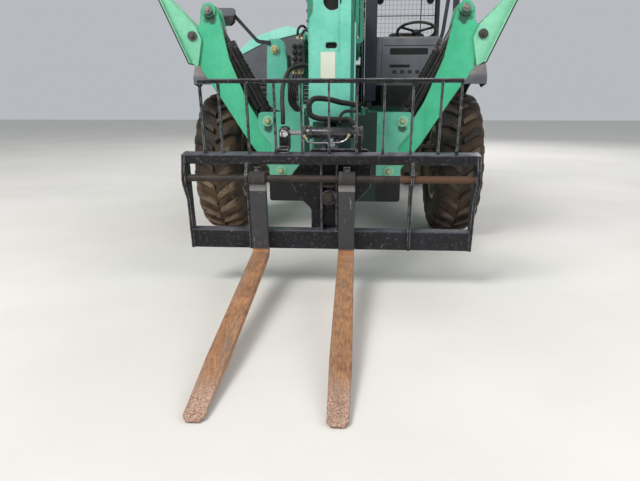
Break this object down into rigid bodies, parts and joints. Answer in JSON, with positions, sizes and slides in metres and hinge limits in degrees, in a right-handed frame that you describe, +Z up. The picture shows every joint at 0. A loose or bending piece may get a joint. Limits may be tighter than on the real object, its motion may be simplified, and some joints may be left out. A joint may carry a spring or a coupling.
{
  "type": "telehandler",
  "caption": "Telescopic handler with a three-section boom, side-tilting fork carriage, folding front stabilizers, four-wheel steering and an open operator's cab.",
  "frame": {"origin": "middle of the machine's outer box, on the ground", "axes": "+X to the machine's left (cab side), +Y to its rear, +Z up"},
  "size_m": [2.6016, 8.0023, 2.56],
  "materials": {
    "paint": "semi-gloss, worn",
    "paint_foot": "chalky, worn",
    "paint_hood": "semi-gloss",
    "axle_black": "dusty black paint",
    "carriage_black": "worn black paint",
    "fork_steel": "rusty forged steel",
    "ram_paint": "satin black",
    "ram_rod": "polished",
    "tyre": "dusty rubber",
    "rim": "dusty paint",
    "cab_steel": "satin dark paint",
    "cowl": "dusty plastic",
    "pod": "semi-gloss",
    "engine": "oily cast iron",
    "seat": "black vinyl",
    "black_plastic": "matte",
    "tank": "satin black",
    "valve": "dirty metal"
  },
  "bodies": {
    "chassis": {"chassis_frame": "paint", "counterweight": "paint", "tow_hitch": "axle_black", "front_axle": "axle_black", "rear_axle": "axle_black", "engine_pod": "pod", "engine_block": "engine", "tank_box": "tank", "cab_frame": "cab_steel", "cab_console": "cowl", "cab_seat": "seat", "steering_wheel": "black_plastic", "fenders_front": "cowl", "fenders_rear": "cowl", "level_tower": "paint", "level_ram": "ram_paint", "valve_block": "valve", "mirror": "black_plastic"},
    "hood": {"engine_hood": "paint_hood"},
    "boom_base": {"boom_base": "paint"},
    "boom_mid": {"boom_mid": "paint"},
    "boom_fly": {"boom_fly": "paint", "tilt_barrel": "ram_paint"},
    "lift_barrel": {"lift_barrel": "ram_paint"},
    "lift_rod": {"lift_rod": "ram_rod"},
    "coupler": {"coupler": "carriage_black"},
    "tilt_rod": {"tilt_rod": "ram_rod"},
    "carriage": {"carriage_frame": "carriage_black", "backrest": "carriage_black"},
    "side_tilt_rod": {"side_tilt_rod": "ram_rod"},
    "fork_left": {"fork_left": "fork_steel"},
    "fork_right": {"fork_right": "fork_steel"},
    "knuckle_front_left": {"knuckle_front_left": "axle_black"},
    "wheel_front_left": {"rim_front_left": "rim", "tyre_front_left": "tyre"},
    "knuckle_front_right": {"knuckle_front_right": "axle_black"},
    "wheel_front_right": {"rim_front_right": "rim", "tyre_front_right": "tyre"},
    "knuckle_rear_left": {"knuckle_rear_left": "axle_black"},
    "wheel_rear_left": {"rim_rear_left": "rim", "tyre_rear_left": "tyre"},
    "knuckle_rear_right": {"knuckle_rear_right": "axle_black"},
    "wheel_rear_right": {"rim_rear_right": "rim", "tyre_rear_right": "tyre"},
    "stab_leg_left": {"stab_leg_left": "paint"},
    "stab_foot_left": {"stab_foot_left": "paint_foot"},
    "stab_left_barrel": {"stab_left_barrel": "ram_paint"},
    "stab_left_rod": {"stab_left_rod": "ram_rod"},
    "stab_leg_right": {"stab_leg_right": "paint"},
    "stab_foot_right": {"stab_foot_right": "paint_foot"},
    "stab_right_barrel": {"stab_right_barrel": "ram_paint"},
    "stab_right_rod": {"stab_right_rod": "ram_rod"}
  },
  "joints": [
    {"name": "boom_lift", "type": "hinge", "parent": "chassis", "child": "boom_base", "pos_m": [0, 3.25, 2.05], "axis": [-1, 0, 0], "range_deg": [0, 70]},
    {"name": "lift_barrel_turn", "type": "hinge", "parent": "chassis", "child": "lift_barrel", "pos_m": [0, 2.77, 1.02], "axis": [-1, 0, 0], "range_deg": [0, 59.87]},
    {"name": "lift_rod_slide", "type": "slide", "parent": "lift_barrel", "child": "lift_rod", "axis": [0, -0.9611, 0.2762], "range_m": [0, 1.237]},
    {"name": "boom_extend", "type": "slide", "parent": "boom_base", "child": "boom_mid", "axis": [0, -0.999, -0.0436], "range_m": [0, 3.3]},
    {"name": "fly_extend", "type": "slide", "parent": "boom_mid", "child": "boom_fly", "axis": [0, -0.999, -0.0436], "range_m": [0, 3.3]},
    {"name": "carriage_tilt", "type": "hinge", "parent": "boom_fly", "child": "coupler", "pos_m": [0, -2.05, 0.62], "axis": [1, 0, 0], "range_deg": [-25, 60]},
    {"name": "tilt_rod_slide", "type": "slide", "parent": "boom_fly", "child": "tilt_rod", "axis": [0, -0.6508, -0.7593], "range_m": [-0.12, 0.27]},
    {"name": "side_tilt", "type": "hinge", "parent": "coupler", "child": "carriage", "pos_m": [0, -2.36369, 0.62001], "axis": [0, 0.9888, 0.1495], "range_deg": [-10, 10]},
    {"name": "side_rod_slide", "type": "slide", "parent": "coupler", "child": "side_tilt_rod", "axis": [1, 0, 0], "range_m": [-0.07, 0.07]},
    {"name": "fork_left_slide", "type": "slide", "parent": "carriage", "child": "fork_left", "axis": [1, 0, 0], "range_m": [0, 0.33]},
    {"name": "fork_right_slide", "type": "slide", "parent": "carriage", "child": "fork_right", "axis": [1, 0, 0], "range_m": [0, 0.33]},
    {"name": "steer_front_left", "type": "hinge", "parent": "chassis", "child": "knuckle_front_left", "pos_m": [0.85, -0.51, 0.64], "axis": [0, 0, 1], "range_deg": [-30, 30]},
    {"name": "spin_front_left", "type": "hinge", "parent": "knuckle_front_left", "child": "wheel_front_left", "pos_m": [1.06, -0.51, 0.64], "axis": [1, 0, 0], "continuous": true},
    {"name": "steer_front_right", "type": "hinge", "parent": "chassis", "child": "knuckle_front_right", "pos_m": [-0.85, -0.51, 0.64], "axis": [0, 0, 1], "range_deg": [-30, 30]},
    {"name": "spin_front_right", "type": "hinge", "parent": "knuckle_front_right", "child": "wheel_front_right", "pos_m": [-1.06, -0.51, 0.64], "axis": [1, 0, 0], "continuous": true},
    {"name": "steer_rear_left", "type": "hinge", "parent": "chassis", "child": "knuckle_rear_left", "pos_m": [0.85, 2.71, 0.64], "axis": [0, 0, 1], "range_deg": [-30, 30]},
    {"name": "spin_rear_left", "type": "hinge", "parent": "knuckle_rear_left", "child": "wheel_rear_left", "pos_m": [1.06, 2.71, 0.64], "axis": [1, 0, 0], "continuous": true},
    {"name": "steer_rear_right", "type": "hinge", "parent": "chassis", "child": "knuckle_rear_right", "pos_m": [-0.85, 2.71, 0.64], "axis": [0, 0, 1], "range_deg": [-30, 30]},
    {"name": "spin_rear_right", "type": "hinge", "parent": "knuckle_rear_right", "child": "wheel_rear_right", "pos_m": [-1.06, 2.71, 0.64], "axis": [1, 0, 0], "continuous": true},
    {"name": "stab_leg_left_swing", "type": "hinge", "parent": "chassis", "child": "stab_leg_left", "pos_m": [0.414, -1.5, 0.68], "axis": [0, 1, 0], "range_deg": [0, 85]},
    {"name": "stab_foot_left_fold", "type": "hinge", "parent": "stab_leg_left", "child": "stab_foot_left", "pos_m": [1.058, -1.5, 1.668], "axis": [0, 1, 0], "range_deg": [-20, 1]},
    {"name": "stab_left_barrel_turn", "type": "hinge", "parent": "chassis", "child": "stab_left_barrel", "pos_m": [0.508, -1.5, 1.056], "axis": [0, 1, 0], "range_deg": [0, 98.21]},
    {"name": "stab_left_rod_slide", "type": "slide", "parent": "stab_left_barrel", "child": "stab_left_rod", "axis": [0.4712, 0, 0.882], "range_m": [0, 0.478]},
    {"name": "stab_leg_right_swing", "type": "hinge", "parent": "chassis", "child": "stab_leg_right", "pos_m": [-0.414, -1.5, 0.68], "axis": [0, -1, 0], "range_deg": [0, 85]},
    {"name": "stab_foot_right_fold", "type": "hinge", "parent": "stab_leg_right", "child": "stab_foot_right", "pos_m": [-1.058, -1.5, 1.668], "axis": [0, -1, 0], "range_deg": [-20, 1]},
    {"name": "stab_right_barrel_turn", "type": "hinge", "parent": "chassis", "child": "stab_right_barrel", "pos_m": [-0.508, -1.5, 1.056], "axis": [0, -1, 0], "range_deg": [0, 98.21]},
    {"name": "stab_right_rod_slide", "type": "slide", "parent": "stab_right_barrel", "child": "stab_right_rod", "axis": [-0.4712, 0, 0.882], "range_m": [0, 0.478]},
    {"name": "hood_open", "type": "hinge", "parent": "chassis", "child": "hood", "pos_m": [-0.405, 1.1, 1.905], "axis": [0, 1, 0], "range_deg": [0, 60]}
  ],
  "couplings": [
    {"joint": "lift_barrel_turn", "follows": "boom_lift", "ratio": 0.84095},
    {"joint": "lift_rod_slide", "follows": "boom_lift", "m_per_rad": 1.0043},
    {"joint": "fly_extend", "follows": "boom_extend", "ratio": 1},
    {"joint": "tilt_rod_slide", "follows": "carriage_tilt", "m_per_rad": 0.25},
    {"joint": "side_rod_slide", "follows": "side_tilt", "m_per_rad": 0.378},
    {"joint": "steer_front_right", "follows": "steer_front_left", "ratio": 1},
    {"joint": "steer_rear_right", "follows": "steer_rear_left", "ratio": 1},
    {"joint": "stab_foot_left_fold", "follows": "stab_leg_left_swing", "ratio": -0.22353},
    {"joint": "stab_left_barrel_turn", "follows": "stab_leg_left_swing", "ratio": 1.1437},
    {"joint": "stab_left_rod_slide", "follows": "stab_leg_left_swing", "m_per_rad": 0.31541},
    {"joint": "stab_foot_right_fold", "follows": "stab_leg_right_swing", "ratio": -0.22353},
    {"joint": "stab_right_barrel_turn", "follows": "stab_leg_right_swing", "ratio": 1.1437},
    {"joint": "stab_right_rod_slide", "follows": "stab_leg_right_swing", "m_per_rad": 0.31541}
  ]
}
